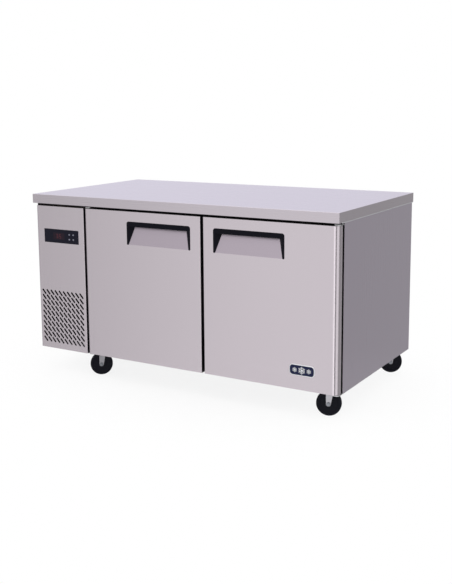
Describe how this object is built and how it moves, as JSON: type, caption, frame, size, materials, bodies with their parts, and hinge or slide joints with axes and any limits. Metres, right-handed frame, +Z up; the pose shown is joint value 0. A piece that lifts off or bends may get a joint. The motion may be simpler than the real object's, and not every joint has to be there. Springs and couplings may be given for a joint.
{
  "type": "undercounter refrigerator",
  "caption": "Low stainless steel refrigerator on swivel casters, with a flat worktop, hinged doors with recessed handles, and a slotted machine panel.",
  "frame": {"origin": "centre of the bounding box's footprint, on the floor", "axes": "+X to the viewer's right along the worktop's length, +Y to the back, +Z up"},
  "size_m": [1.525, 0.815, 0.825],
  "materials": {
    "worktop_steel": "fine brushed along its length",
    "panel_steel": "fine vertical brushing",
    "door_steel": "fine vertical brushing",
    "scoop_steel": "satin",
    "liner_steel": "satin",
    "galvanised_sheet": "galvanised spangle",
    "hinge_zinc": "zinc plated",
    "zinc_steel": "bright zinc plated",
    "shelf_wire": "epoxy-coated wire",
    "fin_aluminium": "mill finish",
    "condenser_paint": "semi-gloss black",
    "compressor_paint": "gloss black",
    "motor_paint": "satin dark grey",
    "copper_tube": "dull copper",
    "foam": "rigid foam",
    "board_core": "rigid foam and board",
    "black_plastic": "matte",
    "frame_black": "matte, lightly grained",
    "handle_black": "satin, lightly grained",
    "controller_black": "semi-gloss",
    "window_tint": "dark smoked",
    "key_grey": "matte",
    "badge_blue": "gloss with a bright rim",
    "gasket_rubber": "matte",
    "white_plastic": "matte",
    "wheel_black": "satin"
  },
  "bodies": {
    "root": {"back_panel": "galvanised_sheet", "base_frame": "galvanised_sheet", "cable_gland": "black_plastic", "caster_plates": "zinc_steel", "compressor": "compressor_paint", "condenser_coil": "condenser_paint", "condenser_fan_motor": "motor_paint", "condenser_shroud": "condenser_paint", "controller_bezel": "controller_black", "controller_window": "window_tint", "drip_tray": "white_plastic", "electrical_box": "galvanised_sheet", "evaporator_coil": "fin_aluminium", "evaporator_cover": "liner_steel", "evaporator_fan_motor": "motor_paint", "fasteners": "zinc_steel", "front_frame": "frame_black", "hinge_plates": "hinge_zinc", "inner_liner": "liner_steel", "insulation": "foam", "left_shelf": "shelf_wire", "left_side_panel": "panel_steel", "panel_edge_strip": "black_plastic", "rear_grille": "galvanised_sheet", "refrigerant_lines": "copper_tube", "right_shelf": "shelf_wire", "right_side_panel": "panel_steel", "shelf_supports": "zinc_steel", "slotted_panel": "door_steel", "worktop": "worktop_steel", "worktop_core": "board_core"},
    "left_door": {"left_door_core": "foam", "left_door_edge_trim": "black_plastic", "left_door_gasket": "gasket_rubber", "left_door_handle_scoop": "scoop_steel", "left_door_handle_trim": "handle_black", "left_door_liner": "liner_steel", "left_door_skin": "door_steel"},
    "right_door": {"right_door_core": "foam", "right_door_edge_trim": "black_plastic", "right_door_gasket": "gasket_rubber", "right_door_handle_scoop": "scoop_steel", "right_door_handle_trim": "handle_black", "right_door_liner": "liner_steel", "right_door_skin": "door_steel", "door_badge": "badge_blue"},
    "condenser_fan": {"condenser_fan": "fin_aluminium"},
    "evaporator_fan": {"evaporator_fan": "black_plastic"},
    "key_set": {"key_set": "key_grey"},
    "key_down": {"key_down": "key_grey"},
    "key_defrost": {"key_defrost": "key_grey"},
    "key_up": {"key_up": "key_grey"},
    "front_left_fork": {"front_left_fork": "zinc_steel"},
    "front_left_wheel": {"front_left_wheel": "wheel_black"},
    "front_right_fork": {"front_right_fork": "zinc_steel"},
    "front_right_wheel": {"front_right_wheel": "wheel_black"},
    "rear_left_fork": {"rear_left_fork": "zinc_steel"},
    "rear_left_wheel": {"rear_left_wheel": "wheel_black"},
    "rear_right_fork": {"rear_right_fork": "zinc_steel"},
    "rear_right_wheel": {"rear_right_wheel": "wheel_black"}
  },
  "joints": [
    {"name": "right_door_hinge", "type": "hinge", "parent": "root", "child": "right_door", "pos_m": [0.7425, -0.3725, 0.4], "axis": [0, 0, 1], "range_deg": [0, 110]},
    {"name": "left_door_hinge", "type": "hinge", "parent": "root", "child": "left_door", "pos_m": [-0.4625, -0.3725, 0.4], "axis": [0, 0, -1], "range_deg": [0, 95]},
    {"name": "condenser_fan_spin", "type": "hinge", "parent": "root", "child": "condenser_fan", "pos_m": [-0.61915, -0.2255, 0.265], "axis": [0, 1, 0], "continuous": true},
    {"name": "evaporator_fan_spin", "type": "hinge", "parent": "root", "child": "evaporator_fan", "pos_m": [-0.3653, 0.0125, 0.61], "axis": [1, 0, 0], "continuous": true},
    {"name": "key_set_press", "type": "slide", "parent": "root", "child": "key_set", "axis": [0, 1, 0], "range_m": [0, 0.0008], "stiffness_N_per_m": 500, "springref_m": -0.001},
    {"name": "key_down_press", "type": "slide", "parent": "root", "child": "key_down", "axis": [0, 1, 0], "range_m": [0, 0.0008], "stiffness_N_per_m": 500, "springref_m": -0.001},
    {"name": "key_defrost_press", "type": "slide", "parent": "root", "child": "key_defrost", "axis": [0, 1, 0], "range_m": [0, 0.0008], "stiffness_N_per_m": 500, "springref_m": -0.001},
    {"name": "key_up_press", "type": "slide", "parent": "root", "child": "key_up", "axis": [0, 1, 0], "range_m": [0, 0.0008], "stiffness_N_per_m": 500, "springref_m": -0.001},
    {"name": "front_left_swivel", "type": "hinge", "parent": "root", "child": "front_left_fork", "pos_m": [-0.4165, -0.3155, 0.11], "axis": [0, 0, 1], "continuous": true},
    {"name": "front_left_wheel_spin", "type": "hinge", "parent": "front_left_fork", "child": "front_left_wheel", "pos_m": [-0.44445, -0.33656, 0.051], "axis": [-0.6018, 0.7986, 0], "continuous": true},
    {"name": "front_right_swivel", "type": "hinge", "parent": "root", "child": "front_right_fork", "pos_m": [0.7245, -0.3155, 0.11], "axis": [0, 0, 1], "continuous": true},
    {"name": "front_right_wheel_spin", "type": "hinge", "parent": "front_right_fork", "child": "front_right_wheel", "pos_m": [0.69103, -0.32573, 0.051], "axis": [-0.2924, 0.9563, 0], "continuous": true},
    {"name": "rear_left_swivel", "type": "hinge", "parent": "root", "child": "rear_left_fork", "pos_m": [-0.4135, 0.3595, 0.11], "axis": [0, 0, 1], "continuous": true},
    {"name": "rear_left_wheel_spin", "type": "hinge", "parent": "rear_left_fork", "child": "rear_left_wheel", "pos_m": [-0.4444, 0.34307, 0.051], "axis": [-0.4695, 0.8829, 0], "continuous": true},
    {"name": "rear_right_swivel", "type": "hinge", "parent": "root", "child": "rear_right_fork", "pos_m": [0.7265, 0.3595, 0.11], "axis": [0, 0, 1], "continuous": true},
    {"name": "rear_right_wheel_spin", "type": "hinge", "parent": "rear_right_fork", "child": "rear_right_wheel", "pos_m": [0.69361, 0.34753, 0.051], "axis": [-0.342, 0.9397, 0], "continuous": true}
  ]
}
